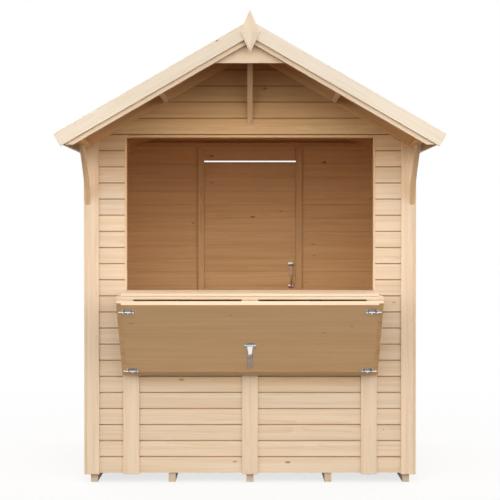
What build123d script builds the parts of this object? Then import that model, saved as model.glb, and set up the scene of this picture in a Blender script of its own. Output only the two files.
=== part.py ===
"""Wooden market stall: a small boarded cabin with a serving window and a fold-down counter.

Millimetres. +Z is up and z = 0 is the underside of the floor bearers. +X is to the right and
-Y is the serving front. The origin is under the middle of the whole stall.
"""
from build123d import *
from math import cos, radians, sin, tan
import os

os.makedirs("parts", exist_ok=True)

# ---- Cabin ----------------------------------------------------------------------------------
cabin_width = 1806          # over the wall boards
cabin_depth = 1406          # over the wall boards
wall_thick = 12             # tongue-and-groove wall boards
stud = 28                   # depth of the wall framing behind the boards
rail_height = 44            # height of the rails in the wall framing
post_width = 44             # corner posts
trim_thick = 12             # corner trims and wall battens
trim_front = 70             # corner trim on the front and the back
trim_side = 82              # corner trim on the side walls
trim_bottom = 45
boards_bottom = 52

# ---- Floor ----------------------------------------------------------------------------------
bearer_width = 39
bearer_height = 50
bearer_spacing = 431
bearer_count = 5
bearer_setback = 8
floor_thick = 12

# ---- Roof -----------------------------------------------------------------------------------
pitch = radians(30)
eaves_height = 1836         # underside of the rafters over the outside of the side trims
rafter_depth = 70
rafter_thick = 28
roof_board = 16
front_overhang = 449
back_overhang = 48
barge_thick = 16
barge_depth = 73
barge_rise = 24             # bottom edge of the bargeboards above the underside of the rafters
eaves_reach = 100           # from the side trims to the outer corners of the bargeboards
roof_set_back = 8           # roof boards shorter than the bargeboards, along the slope
fascia_thick = 14
fascia_reach = 46           # from the side trims to the inside of the fascias
purlin_depth = 45
mid_purlin_at = 515         # along the slope
eaves_purlin_in = 4         # lower outer edge of the eaves purlins, in from the wall boards
wall_rafter_proud = 5
mitre_gap = 0.4             # sawn joint between the left and right pieces at the ridge
gable_plate_thick = 12
gable_plate_bottom = 2260
gable_plate_rise = 50
finial_thick = 16
finial_top = 2530
finial_wide_at = 2413
finial_width = 100
finial_bottom = 2304

# ---- Serving window -------------------------------------------------------------------------
window_width = 1360
window_bottom = 1061
window_top = 1904
lining_side = 11
lining_head = 13
sill_thick = 12
lining_proud = 3

# ---- Fold-down shutter: the counter and the panel that props it ------------------------------
shutter_width = 1400        # outer boards
inner_clearance = 5         # inner boards inside the window linings, each side
inner_thick = 14
outer_thick = 16
cover_batten = 5
batten_width = 88
counter_reach = 370         # wall to the fold
outer_start = 16            # back edge of the counter's outer boards from the wall
inner_start = 35            # back edge of the counter's inner boards from the wall
prop_lean = radians(39)     # from the vertical
prop_inner_length = 497
prop_outer_length = 531
fold_gap = 1
wall_batten_top = 700
rest_start = 495            # down the prop panel to the top of the rest blocks
rest_length = 30
seat_gap = 0.3              # joint between pieces that bear on each other

# ---- Brackets under the roof ----------------------------------------------------------------
bracket_thick = 22
bracket_foot = 1534
bracket_reach = 300
bracket_end = 95
bracket_hollow = 22
ridge_bracket_foot = 1974
ridge_bracket_reach = 330

# ---- Door in the back wall ------------------------------------------------------------------
door_clear_width = 602      # between the door posts
door_post_width = 40
door_opening_half = 330
door_head = 1851
door_top_gap = 9
door_gap = 6.5              # beside, below and behind the leaf
door_board = 12
door_stile_thick = 20
door_stile_width = 70
tie_rail_bottom = 1940
casing_width = 70
handle_x = 270
handle_bottom = 1013
handle_length = 168
handle_foot = 37
handle_bar = 14
handle_stand = 45

# ---- Ironmongery ----------------------------------------------------------------------------
plate = 2.5
knuckle_radius = 5
fold_knuckle_radius = 4
hinge_width = 60
door_strap_length = 300
door_strap_width = 36
door_strap_tip = 18
door_plate_width = 40
strap_start = 6             # from the pin to the flat of the strap and of the plate
knuckle_gap = 1             # between the knuckles of the strap and of the plate
pin_radius = 2.5
pin_clearance = 0.1
door_hinge_heights = (330, 960, 1590)
shutter_hinge_x = 400
fold_hinge_x = 340
bolt_plate = (65, 30)
bolt_radius = 4
bolt_length = 80
bolt_past_edge = 15
bolt_upper_at = 46          # down the prop panel
bolt_lower_at = 481
hasp_at = 292
hasp_length = 172
hasp_width = 34
hasp_end_width = 24
hasp_hinge_width = 62
hasp_slot = (9, 46)

# ---- Derived places -------------------------------------------------------------------------
half_width = cabin_width / 2
trim_half = half_width + trim_thick
ridge_z = eaves_height + trim_half * tan(pitch)
fascia_in = trim_half + fascia_reach
eaves_purlin_at = (half_width - eaves_purlin_in) / cos(pitch) - rafter_thick
barge_top = barge_rise + barge_depth
barge_length = (trim_half + eaves_reach - barge_top * sin(pitch)) / cos(pitch)
roof_length = barge_length - roof_set_back

front_reach = front_overhang + barge_thick + finial_thick
back_reach = cabin_depth + back_overhang + barge_thick
front = (front_reach - back_reach) / 2
back = front + cabin_depth
roof_front = front - front_overhang
roof_back = back + back_overhang
back_inside = back - wall_thick
front_inside = front + wall_thick
side_inside = half_width - wall_thick
floor_top = bearer_height + floor_thick
window_half = window_width / 2
window_cut_half = window_half + lining_side
window_cut_top = window_top + lining_head
window_cut_bottom = window_bottom - sill_thick
batten_x = (shutter_width - batten_width) / 2
inner_half = window_half - inner_clearance
fold_y = front - counter_reach
counter_joint = window_bottom - inner_thick
counter_under = counter_joint - outer_thick
fold_z = counter_under - cover_batten


def roof_z(x, above):
    """Height of a line parallel to the slope, at x from the middle, above the rafters' underside."""
    return ridge_z - abs(x) * tan(pitch) + above / cos(pitch)


def roof_x(z, above=0):
    """Distance from the middle at which such a line comes down to height z."""
    return (ridge_z + above / cos(pitch) - z) / tan(pitch)


def on_slope(side, along, above):
    """Point of a square-cut roof timber, down the slope from the ridge."""
    x = along * cos(pitch) + above * sin(pitch)
    return (side * x, ridge_z - along * sin(pitch) + above * cos(pitch))


def mirrored(outline):
    """The same outline on the other side of the stall."""
    return [(-x, z) for x, z in outline]


def finish(piece, name):
    """Name a piece and write its file."""
    piece.part.label = name
    export_step(piece.part, f"parts/{name}.step")


def timbers(name, boxes):
    """Square-sawn timbers, each given by its ranges in X, Y and Z."""
    with BuildPart() as piece:
        for (x0, x1), (y0, y1), (z0, z1) in boxes:
            with BuildSketch(Plane.XY.offset(z0)):
                with Locations(((x0 + x1) / 2, (y0 + y1) / 2)):
                    Rectangle(x1 - x0, y1 - y0)
            extrude(amount=z1 - z0)
    finish(piece, name)


def across(name, sections, notches=()):
    """Outlines drawn in X and Z, each running from y0 back to y1, less the notches."""
    with BuildPart() as piece:
        for outline, y0, y1 in sections:
            with BuildSketch(Plane.XZ.offset(-y0)):
                with BuildLine():
                    Polyline(*outline, close=True)
                make_face()
            extrude(amount=y0 - y1)
        for outline, y0, y1 in notches:
            with BuildSketch(Plane.XZ.offset(-y0)):
                with BuildLine():
                    Polyline(*outline, close=True)
                make_face()
            extrude(amount=y0 - y1, mode=Mode.SUBTRACT)
    finish(piece, name)


def rectangle(x0, x1, z0, z1):
    return [(x0, z0), (x1, z0), (x1, z1), (x0, z1)]


# ---- Floor ----------------------------------------------------------------------------------
bearer_middles = [(index - (bearer_count - 1) / 2) * bearer_spacing for index in range(bearer_count)]
timbers("floor_bearers", [
    (
        (middle - bearer_width / 2, middle + bearer_width / 2),
        (front + bearer_setback, back - bearer_setback),
        (0, bearer_height),
    )
    for middle in bearer_middles
])

timbers("floor_boards", [(
    (-side_inside, side_inside),
    (front_inside, back_inside),
    (bearer_height, floor_top),
)])

# ---- Front wall -----------------------------------------------------------------------------
front_frame = (front_inside + seat_gap, front_inside + stud)
post_inside = side_inside - post_width
window_stud = (window_cut_half, window_cut_half + stud)
window_stud_left = (-window_stud[1], -window_stud[0])
between_posts = (seat_gap - post_inside, post_inside - seat_gap)
rail_top = floor_top + rail_height
lower_stud = (rail_top + seat_gap, window_cut_bottom - rail_height - seat_gap)

timbers("front_wall_lower", [
    ((-half_width, half_width), (front, front_inside), (boards_bottom, window_cut_bottom)),
    (between_posts, front_frame, (floor_top, rail_top)),
    (between_posts, front_frame, (window_cut_bottom - rail_height, window_cut_bottom)),
    (window_stud, front_frame, lower_stud),
    (window_stud_left, front_frame, lower_stud),
])

stud_top = roof_z(window_stud[1], 0) - seat_gap
beside_window = [
    (window_cut_half, window_cut_bottom),
    (half_width, window_cut_bottom),
    (half_width, roof_z(half_width, 0)),
    (roof_x(window_cut_top), window_cut_top),
    (window_cut_half, window_cut_top),
]
window_stud_outline = rectangle(*window_stud, window_cut_bottom + seat_gap, stud_top)
across("front_wall_right", [
    (beside_window, front, front_inside),
    (window_stud_outline, *front_frame),
])
across("front_wall_left", [
    (mirrored(beside_window), front, front_inside),
    (mirrored(window_stud_outline), *front_frame),
])


def gable(bottom):
    """Gable boards above a level line, up to the rafters and the ridge board."""
    x_low = roof_x(bottom)
    x_top = rafter_thick / 2
    return [(-x_low, bottom), (x_low, bottom), (x_top, roof_z(x_top, 0)), (-x_top, roof_z(x_top, 0))]


head_rail_top = window_cut_top + stud


def head_rail_end(z):
    """End of the head rail at height z: against the window stud, or under the rafters."""
    return min(window_cut_half, roof_x(z)) - seat_gap


head_rail = [
    (-head_rail_end(window_cut_top), window_cut_top),
    (head_rail_end(window_cut_top), window_cut_top),
    (head_rail_end(head_rail_top), head_rail_top),
    (-head_rail_end(head_rail_top), head_rail_top),
]
across("front_gable", [
    (gable(window_cut_top), front, front_inside),
    (head_rail, *front_frame),
])

# ---- Side walls -----------------------------------------------------------------------------
side_boards = [
    (side_inside, boards_bottom),
    (half_width, boards_bottom),
    (half_width, roof_z(half_width, 0)),
    (side_inside, roof_z(side_inside, 0)),
]
side_frame = (side_inside - stud, side_inside - seat_gap)
side_top = roof_z(side_inside, 0)
side_bottom_rail = rectangle(*side_frame, floor_top, rail_top)
side_top_rail = rectangle(*side_frame, side_top - rail_height, side_top)
side_stud = rectangle(*side_frame, rail_top + seat_gap, side_top - rail_height - seat_gap)
side_rails_y = (front_inside + stud + seat_gap, back_inside - stud - seat_gap)
side_sections = [
    (side_boards, front_inside, back_inside),
    (side_bottom_rail, *side_rails_y),
    (side_top_rail, *side_rails_y),
    (side_stud, (front + back - rail_height) / 2, (front + back + rail_height) / 2),
]
across("right_wall", side_sections)
across("left_wall", [(mirrored(outline), y0, y1) for outline, y0, y1 in side_sections])

# ---- Corner posts and trims -----------------------------------------------------------------
post_outline = [
    (post_inside, floor_top),
    (side_inside, floor_top),
    (side_inside, roof_z(side_inside, 0)),
    (post_inside, roof_z(post_inside, 0)),
]
back_frame = (back_inside - stud, back_inside - seat_gap)
across("corner_posts", [
    (post_outline, *front_frame),
    (mirrored(post_outline), *front_frame),
    (post_outline, *back_frame),
    (mirrored(post_outline), *back_frame),
])

trim_inside = half_width - trim_front
trim_face = [
    (trim_inside, trim_bottom),
    (half_width, trim_bottom),
    (half_width, roof_z(half_width, 0)),
    (trim_inside, roof_z(trim_inside, 0)),
]
trim_return = [
    (half_width, trim_bottom),
    (trim_half, trim_bottom),
    (trim_half, roof_z(trim_half, 0)),
    (half_width, roof_z(half_width, 0)),
]
front_trim = [
    (trim_face, front - trim_thick, front),
    (trim_return, front - trim_thick, front - trim_thick + trim_side),
]
back_trim = [
    (trim_face, back, back + trim_thick),
    (trim_return, back + trim_thick - trim_side, back + trim_thick),
]
across("corner_trims_front", front_trim + [(mirrored(outline), y0, y1) for outline, y0, y1 in front_trim])
across("corner_trims_back", back_trim + [(mirrored(outline), y0, y1) for outline, y0, y1 in back_trim])

# ---- Back wall and its doorway --------------------------------------------------------------
beside_door = [
    (door_opening_half, boards_bottom),
    (half_width, boards_bottom),
    (half_width, roof_z(half_width, 0)),
    (roof_x(door_head), door_head),
    (door_opening_half, door_head),
]
door_post = (door_clear_width / 2, door_clear_width / 2 + door_post_width)
back_bottom_rail = rectangle(door_post[1] + seat_gap, post_inside - seat_gap, floor_top, rail_top)
across("back_wall_right", [
    (beside_door, back_inside, back),
    (back_bottom_rail, *back_frame),
])
across("back_wall_left", [
    (mirrored(beside_door), back_inside, back),
    (mirrored(back_bottom_rail), *back_frame),
])
across("back_gable", [(gable(door_head), back_inside, back)])

door_post_outline = rectangle(*door_post, floor_top, tie_rail_bottom)
across("door_posts", [
    (door_post_outline, *back_frame),
    (mirrored(door_post_outline), *back_frame),
])

tie_top = tie_rail_bottom + stud
tie_low_x = roof_x(tie_rail_bottom)
tie_high_x = roof_x(tie_top)
across("back_tie_rail", [(
    [
        (-tie_low_x, tie_rail_bottom),
        (tie_low_x, tie_rail_bottom),
        (tie_high_x, tie_top),
        (-tie_high_x, tie_top),
    ],
    *back_frame,
)])

casing_out = back + door_gap + door_stile_thick
casing_in = door_opening_half
timbers("door_casing", [
    ((casing_in, casing_in + casing_width), (back, casing_out), (boards_bottom, door_head)),
    ((-casing_in - casing_width, -casing_in), (back, casing_out), (boards_bottom, door_head)),
])

# ---- Window linings and sill ----------------------------------------------------------------
lining_y = (front - lining_proud, front_frame[1])
timbers("window_sill", [(
    (-window_cut_half, window_cut_half),
    (front, front_frame[1]),
    (window_cut_bottom, window_bottom),
)])
head_half = window_half - seat_gap
timbers("window_linings", [
    ((window_half, window_cut_half), lining_y, (window_bottom, window_cut_top)),
    ((-window_cut_half, -window_half), lining_y, (window_bottom, window_cut_top)),
    ((-head_half, head_half), lining_y, (window_top, window_cut_top)),
])

# ---- Wall battens and the blocks that carry the prop panel ----------------------------------
batten_faces = [
    (centre - batten_width / 2, centre + batten_width / 2) for centre in (-batten_x, 0, batten_x)
]
prop_plane = Plane(
    origin=(0, fold_y, fold_z),
    x_dir=(1, 0, 0),
    z_dir=(0, -cos(prop_lean), -sin(prop_lean)),
)


def on_prop(down, out):
    """Y and Z of a point down the prop panel from the fold, and out from its battens' face."""
    y = fold_y + down * sin(prop_lean) - out * cos(prop_lean)
    z = fold_z - down * cos(prop_lean) - out * sin(prop_lean)
    return (y, z)


rest_top_front = on_prop(rest_start + seat_gap, cover_batten - seat_gap)
rest_bottom_front = on_prop(rest_start + rest_length, cover_batten - seat_gap)
rest_back = front - trim_thick - seat_gap
rest_rise = (rest_back - rest_top_front[0]) * tan(prop_lean)
rest_outline = [
    rest_top_front,
    rest_bottom_front,
    (rest_back, rest_bottom_front[1]),
    (rest_back, rest_top_front[1] + rest_rise),
]
batten_outline = [
    (front, trim_bottom),
    (front - trim_thick, trim_bottom),
    (front - trim_thick, wall_batten_top),
    (front, wall_batten_top),
]
with BuildPart() as wall_battens:
    for face in batten_faces:
        for outline in (batten_outline, rest_outline):
            with BuildSketch(Plane.YZ.offset(face[0])):
                with BuildLine():
                    Polyline(*outline, close=True)
                make_face()
            extrude(amount=batten_width)
finish(wall_battens, "wall_battens")

# ---- Counter --------------------------------------------------------------------------------
timbers("counter_top", [(
    (-inner_half, inner_half),
    (fold_y, front - inner_start),
    (counter_joint, window_bottom),
)])
counter_boards = [(
    (-shutter_width / 2, shutter_width / 2),
    (fold_y, front - outer_start),
    (counter_under, counter_joint),
)]
for face in batten_faces:
    counter_boards.append((face, (fold_y + fold_gap, front - outer_start), (fold_z, counter_under)))
timbers("counter_boards", counter_boards)

# ---- Prop panel -----------------------------------------------------------------------------
with BuildPart() as prop_boards:
    with BuildSketch(prop_plane.offset(cover_batten)):
        with Locations((0, -(fold_gap + prop_outer_length) / 2)):
            Rectangle(shutter_width, prop_outer_length - fold_gap)
    extrude(amount=outer_thick)
    with BuildSketch(prop_plane):
        for centre in (-batten_x, 0, batten_x):
            with Locations((centre, -(fold_gap + rest_start) / 2)):
                Rectangle(batten_width, rest_start - fold_gap)
    extrude(amount=cover_batten)
finish(prop_boards, "prop_boards")

prop_face = cover_batten + outer_thick + inner_thick
with BuildPart() as prop_lining:
    with BuildSketch(prop_plane.offset(cover_batten + outer_thick)):
        with Locations((0, -(fold_gap + prop_inner_length) / 2)):
            Rectangle(2 * inner_half, prop_inner_length - fold_gap)
    extrude(amount=inner_thick)
finish(prop_lining, "prop_lining")

# ---- Shutter hinges -------------------------------------------------------------------------
sill_pin = (front - plate - knuckle_radius, (counter_joint + counter_under) / 2)
with BuildPart() as shutter_hinges:
    for centre in (-shutter_hinge_x, 0, shutter_hinge_x):
        with BuildSketch(Plane.YZ.offset(centre - hinge_width / 2)):
            with Locations(sill_pin):
                Circle(knuckle_radius)
            with Locations((front - plate / 2, sill_pin[1] - hinge_width / 4)):
                Rectangle(plate, hinge_width / 2)
            with Locations((front - plate - knuckle_radius / 2, sill_pin[1] - knuckle_radius / 2)):
                Rectangle(knuckle_radius, knuckle_radius)
            with Locations(((sill_pin[0] + front - outer_start) / 2, sill_pin[1])):
                Rectangle(sill_pin[0] - front + outer_start, outer_thick / 2)
        extrude(amount=hinge_width)
    for centre in (-fold_hinge_x, fold_hinge_x):
        with BuildSketch(Plane.YZ.offset(centre - hinge_width / 2)):
            with Locations((fold_y, fold_z)):
                Circle(fold_knuckle_radius)
            with BuildLine():
                Polyline(
                    (fold_y, fold_z),
                    (fold_y, counter_under),
                    (fold_y + hinge_width / 2, counter_under),
                    (fold_y + hinge_width / 2, counter_under - plate),
                    (fold_y + plate, counter_under - plate),
                    close=True,
                )
            make_face()
            with BuildLine():
                Polyline(
                    (fold_y, fold_z),
                    on_prop(fold_gap, cover_batten),
                    on_prop(hinge_width / 2, cover_batten),
                    on_prop(hinge_width / 2, cover_batten - plate),
                    on_prop(fold_gap + plate, cover_batten - plate),
                    close=True,
                )
            make_face()
        extrude(amount=hinge_width)
finish(shutter_hinges, "shutter_hinges")

# ---- Barrel bolts and hasp on the prop panel's lining ---------------------------------------
face_plane = prop_plane.offset(prop_face)
with BuildPart() as shutter_bolts:
    for side in (-1, 1):
        for down in (bolt_upper_at, bolt_lower_at):
            plate_x = side * (inner_half - bolt_plate[0] / 2 - plate)
            rod_x = side * (inner_half + bolt_past_edge - bolt_length / 2)
            with BuildSketch(face_plane):
                with Locations((plate_x, -down)):
                    Rectangle(*bolt_plate)
            extrude(amount=plate)
            with BuildSketch(face_plane.offset(plate)):
                with Locations((rod_x, -down)):
                    Rectangle(bolt_length, 2 * bolt_radius)
            extrude(amount=2 * bolt_radius)
finish(shutter_bolts, "shutter_bolts")

with BuildPart() as shutter_hasp:
    with BuildSketch(face_plane):
        with Locations((0, -hasp_at)):
            Rectangle(hasp_hinge_width, hasp_width)
        with BuildLine():
            Polyline(
                (-hasp_width / 2, -hasp_at),
                (hasp_width / 2, -hasp_at),
                (hasp_end_width / 2, -hasp_at - hasp_length),
                (-hasp_end_width / 2, -hasp_at - hasp_length),
                close=True,
            )
        make_face()
        with Locations((0, -hasp_at - hasp_length + hasp_slot[1] / 2 + hasp_slot[0])):
            SlotOverall(hasp_slot[1], hasp_slot[0], rotation=90, mode=Mode.SUBTRACT)
    extrude(amount=plate)
finish(shutter_hasp, "shutter_hasp")

# ---- Roof framing ---------------------------------------------------------------------------
mitre = mitre_gap / 2
ridge_half = rafter_thick / 2
plate_back = roof_front + rafter_thick + gable_plate_thick
level_cut_x = roof_x(eaves_height)


def rafter_outline(side):
    """Front rafter: mitred at the ridge, level cut at the eaves, against the fascia."""
    return [
        (side * mitre, roof_z(mitre, 0)),
        (side * level_cut_x, eaves_height),
        (side * fascia_in, eaves_height),
        (side * fascia_in, roof_z(fascia_in, rafter_depth)),
        (side * mitre, roof_z(mitre, rafter_depth)),
    ]


across("front_rafters", [
    (rafter_outline(-1), roof_front, roof_front + rafter_thick),
    (rafter_outline(1), roof_front, roof_front + rafter_thick),
])


def square_timber(side, start, depth):
    """Section of a purlin, its underside in line with the rafters' underside."""
    return [
        on_slope(side, start, 0),
        on_slope(side, start + rafter_thick, 0),
        on_slope(side, start + rafter_thick, depth),
        on_slope(side, start, depth),
    ]


purlin_y = (roof_front + rafter_thick, roof_back)
across("purlins", [
    (square_timber(-1, mid_purlin_at, purlin_depth), *purlin_y),
    (square_timber(1, mid_purlin_at, purlin_depth), *purlin_y),
    (square_timber(-1, eaves_purlin_at, rafter_depth), *purlin_y),
    (square_timber(1, eaves_purlin_at, rafter_depth), *purlin_y),
])
ridge_low = roof_z(ridge_half, 0)
ridge_top = roof_z(ridge_half, rafter_depth)
across("ridge_board", [(rectangle(-ridge_half, ridge_half, ridge_low, ridge_top), plate_back, roof_back)])


def wall_rafter(side):
    """Rafter over a gable wall, from the ridge board to the eaves purlin."""
    return [
        (side * ridge_half, roof_z(ridge_half, 0)),
        on_slope(side, eaves_purlin_at, 0),
        on_slope(side, eaves_purlin_at, rafter_depth),
        (side * ridge_half, roof_z(ridge_half, rafter_depth)),
    ]


front_rafters_y = (front - wall_rafter_proud, front - wall_rafter_proud + rafter_thick)
back_rafters_y = (back + wall_rafter_proud - rafter_thick, back + wall_rafter_proud)
wall_rafter_places = [(side, span) for side in (-1, 1) for span in (front_rafters_y, back_rafters_y)]
across(
    "wall_rafters",
    [(wall_rafter(side), *span) for side, span in wall_rafter_places],
    notches=[(square_timber(side, mid_purlin_at, purlin_depth), *span) for side, span in wall_rafter_places],
)

for side_name, side in (("left", -1), ("right", 1)):
    across(f"roof_boards_{side_name}", [([
        (0, roof_z(0, rafter_depth)),
        on_slope(side, roof_length, rafter_depth),
        on_slope(side, roof_length, rafter_depth + roof_board),
        (0, roof_z(0, rafter_depth + roof_board)),
    ], roof_front, roof_back)])

fascia_out = fascia_in + fascia_thick
fascia = [
    (fascia_in, eaves_height),
    (fascia_out, eaves_height),
    (fascia_out, roof_z(fascia_out, rafter_depth)),
    (fascia_in, roof_z(fascia_in, rafter_depth)),
]
across("eaves_fascias", [(fascia, roof_front, roof_back), (mirrored(fascia), roof_front, roof_back)])


def bargeboard(side):
    """Board over the ends of the roof boards, square-cut at the eaves."""
    return [
        (side * mitre, roof_z(mitre, barge_rise)),
        on_slope(side, barge_length, barge_rise),
        on_slope(side, barge_length, barge_top),
        (side * mitre, roof_z(mitre, barge_top)),
    ]


across("bargeboards_front", [
    (bargeboard(-1), roof_front - barge_thick, roof_front),
    (bargeboard(1), roof_front - barge_thick, roof_front),
])
across("bargeboards_back", [
    (bargeboard(-1), roof_back, roof_back + barge_thick),
    (bargeboard(1), roof_back, roof_back + barge_thick),
])

finial_y = (roof_front - barge_thick - finial_thick, roof_front - barge_thick)
across("finial", [([
    (0, finial_bottom),
    (finial_width / 2, finial_wide_at),
    (0, finial_top),
    (-finial_width / 2, finial_wide_at),
], *finial_y)])

plate_half = roof_x(gable_plate_bottom, gable_plate_rise)
across("gable_plate", [([
    (-plate_half, gable_plate_bottom),
    (plate_half, gable_plate_bottom),
    (0, roof_z(0, gable_plate_rise)),
], roof_front + rafter_thick, plate_back)])


# ---- Brackets under the roof ----------------------------------------------------------------
def bracket(wall_y, foot, reach, top):
    """Curved bracket: hollow front edge, straight back edge, flat foot and head."""
    low = (wall_y, foot)
    high = (wall_y - reach, top)
    run = (reach**2 + (top - foot) ** 2) ** 0.5
    middle_y = wall_y - reach / 2 + bracket_hollow * (top - foot) / run
    middle_z = (foot + top) / 2 + bracket_hollow * reach / run
    with BuildLine() as edge:
        ThreePointArc(high, (middle_y, middle_z), low)
        Polyline(low, (wall_y, foot + bracket_end), (wall_y - reach + bracket_end, top), high)
    return edge.line


side_bracket_top = roof_z((eaves_purlin_at + rafter_thick) * cos(pitch), 0)
side_bracket_edge = bracket(front - trim_thick, bracket_foot, bracket_reach, side_bracket_top)
with BuildPart() as side_brackets:
    for start in (-half_width, half_width - bracket_thick):
        with BuildSketch(Plane.YZ.offset(start)):
            add(side_bracket_edge)
            make_face()
        extrude(amount=bracket_thick)
finish(side_brackets, "side_brackets")

ridge_bracket_edge = bracket(front, ridge_bracket_foot, ridge_bracket_reach, ridge_low)
with BuildPart() as ridge_bracket:
    with BuildSketch(Plane.YZ.offset(-ridge_half)):
        add(ridge_bracket_edge)
        make_face()
    extrude(amount=rafter_thick)
finish(ridge_bracket, "ridge_bracket")

# ---- Door -----------------------------------------------------------------------------------
leaf_half = door_opening_half - door_gap
leaf_bottom = floor_top + door_gap
leaf_top = door_head - door_top_gap
leaf_in = back_inside + door_gap
leaf_out = leaf_in + door_board
stile_out = leaf_out + door_stile_thick
timbers("door_boards", [((-leaf_half, leaf_half), (leaf_in, leaf_out), (leaf_bottom, leaf_top))])
stile_in = leaf_half - door_stile_width
timbers("door_stiles", [
    ((-leaf_half, -stile_in), (leaf_out, stile_out), (leaf_bottom, leaf_top)),
    ((stile_in, leaf_half), (leaf_out, stile_out), (leaf_bottom, leaf_top)),
])
timbers("door_ledges", [
    (
        (seat_gap - stile_in, stile_in - seat_gap),
        (leaf_out, stile_out),
        (height - door_stile_width / 2, height + door_stile_width / 2),
    )
    for height in door_hinge_heights
])

handle_top = handle_bottom + handle_length
foot_x = (handle_x - handle_foot / 2, handle_x + handle_foot / 2)
bar_x = (handle_x - handle_bar / 2, handle_x + handle_bar / 2)
foot_y = (leaf_in - plate, leaf_in)
grip_y = (leaf_in - handle_stand, leaf_in - handle_stand + handle_bar)
arm_y = (leaf_in - handle_stand, leaf_in - plate)
grip_low = handle_bottom + handle_foot / 2 - handle_bar / 2
grip_high = handle_top - handle_foot / 2 + handle_bar / 2
timbers("door_handle", [
    (foot_x, foot_y, (handle_bottom, handle_bottom + handle_foot)),
    (foot_x, foot_y, (handle_top - handle_foot, handle_top)),
    (bar_x, arm_y, (grip_low, grip_low + handle_bar)),
    (bar_x, arm_y, (grip_high - handle_bar, grip_high)),
    (bar_x, grip_y, (grip_low, grip_high)),
])

# ---- Door hinges: straps on the door, plates and pins on the casing --------------------------
pin_x = -(leaf_half + door_opening_half) / 2
pin_y = stile_out + plate + knuckle_radius
knuckle_length = door_strap_width / 3 - knuckle_gap
with BuildPart() as door_hinges:
    for height in door_hinge_heights:
        strap_low = height - door_strap_width / 2
        with BuildSketch(Plane.XZ.offset(-stile_out)):
            with BuildLine():
                Polyline(
                    (pin_x + strap_start, strap_low),
                    (pin_x + door_strap_length, height - door_strap_tip / 2),
                    (pin_x + door_strap_length, height + door_strap_tip / 2),
                    (pin_x + strap_start, strap_low + door_strap_width),
                    close=True,
                )
            make_face()
        extrude(amount=-plate)
        for low in (strap_low, strap_low + door_strap_width - knuckle_length):
            with BuildSketch(Plane.XY.offset(low)):
                with Locations((pin_x, pin_y)):
                    Circle(knuckle_radius)
                with Locations((pin_x + strap_start, stile_out + plate)):
                    Rectangle(2 * strap_start, 2 * plate)
                with Locations((pin_x, pin_y)):
                    Circle(pin_radius + pin_clearance, mode=Mode.SUBTRACT)
            extrude(amount=knuckle_length)
finish(door_hinges, "door_hinges")

with BuildPart() as door_hinge_plates:
    for height in door_hinge_heights:
        with BuildSketch(Plane.XY.offset(height - knuckle_length / 2)):
            with Locations((pin_x, pin_y)):
                Circle(knuckle_radius)
            with Locations((pin_x - strap_start, stile_out + plate)):
                Rectangle(2 * strap_start, 2 * plate)
        extrude(amount=knuckle_length)
        with BuildSketch(Plane.XY.offset(height - door_strap_width / 2)):
            with Locations((pin_x, pin_y)):
                Circle(pin_radius)
            with Locations((pin_x - strap_start - door_plate_width / 2, stile_out + plate / 2)):
                Rectangle(door_plate_width, plate)
        extrude(amount=door_strap_width)
finish(door_hinge_plates, "door_hinge_plates")
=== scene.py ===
import random
from functools import partial
from math import ceil, cos, floor, pi, radians, sin, tan

import bmesh
import bpy
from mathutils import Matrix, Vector


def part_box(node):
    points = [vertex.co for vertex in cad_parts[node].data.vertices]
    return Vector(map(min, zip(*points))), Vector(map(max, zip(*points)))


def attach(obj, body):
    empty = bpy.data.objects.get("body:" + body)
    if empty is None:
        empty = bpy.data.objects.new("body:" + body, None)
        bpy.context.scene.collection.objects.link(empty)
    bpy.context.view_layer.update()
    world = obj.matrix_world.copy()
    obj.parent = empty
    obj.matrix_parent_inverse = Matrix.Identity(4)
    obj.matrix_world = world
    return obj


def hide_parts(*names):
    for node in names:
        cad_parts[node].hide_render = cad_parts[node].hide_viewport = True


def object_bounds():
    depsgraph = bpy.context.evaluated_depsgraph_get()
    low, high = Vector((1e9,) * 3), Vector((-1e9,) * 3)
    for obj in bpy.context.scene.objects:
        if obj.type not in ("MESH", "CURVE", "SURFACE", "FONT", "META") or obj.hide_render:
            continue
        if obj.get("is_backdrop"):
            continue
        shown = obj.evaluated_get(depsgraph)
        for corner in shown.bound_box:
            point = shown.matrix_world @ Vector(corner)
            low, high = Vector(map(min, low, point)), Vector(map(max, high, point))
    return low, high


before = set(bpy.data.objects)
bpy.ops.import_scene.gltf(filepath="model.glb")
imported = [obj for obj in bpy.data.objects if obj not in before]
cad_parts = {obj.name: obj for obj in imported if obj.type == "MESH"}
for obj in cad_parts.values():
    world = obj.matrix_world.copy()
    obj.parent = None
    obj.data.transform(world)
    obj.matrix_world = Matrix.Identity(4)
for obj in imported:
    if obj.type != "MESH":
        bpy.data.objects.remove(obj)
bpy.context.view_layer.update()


# ---- Floor bearers -----------------------------------
# Five sawn spruce battens that run from front to back and carry the whole stall. They lie flat
# on the ground, and their sawn ends show under the front wall.
WELD = 0.00002
FLAT = radians(0.5)
SHARP = radians(25)
SAWN_ARRIS = 0.0015
FRAMING_ARRIS = 0.0012


def solids(node):
    """The separate solids of a CAD node, each as its points and its whole flat faces."""
    work = bmesh.new()
    work.from_mesh(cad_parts[node].data)
    bmesh.ops.remove_doubles(work, verts=work.verts, dist=WELD)
    bmesh.ops.dissolve_limit(work, angle_limit=FLAT, verts=work.verts, edges=work.edges)
    left = set(work.verts)
    found = []
    while left:
        start = min(left, key=lambda vertex: vertex.index)
        group, waiting = {start}, [start]
        while waiting:
            for edge in waiting.pop().link_edges:
                for vertex in edge.verts:
                    if vertex not in group:
                        group.add(vertex)
                        waiting.append(vertex)
        left -= group
        in_order = sorted(group, key=lambda vertex: vertex.index)
        order = {vertex: index for index, vertex in enumerate(in_order)}
        faces = [face for face in work.faces if face.verts[0] in group]
        found.append((
            [vertex.co.copy() for vertex in order],
            [[order[vertex] for vertex in face.verts] for face in faces],
        ))
    work.free()
    return found


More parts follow.
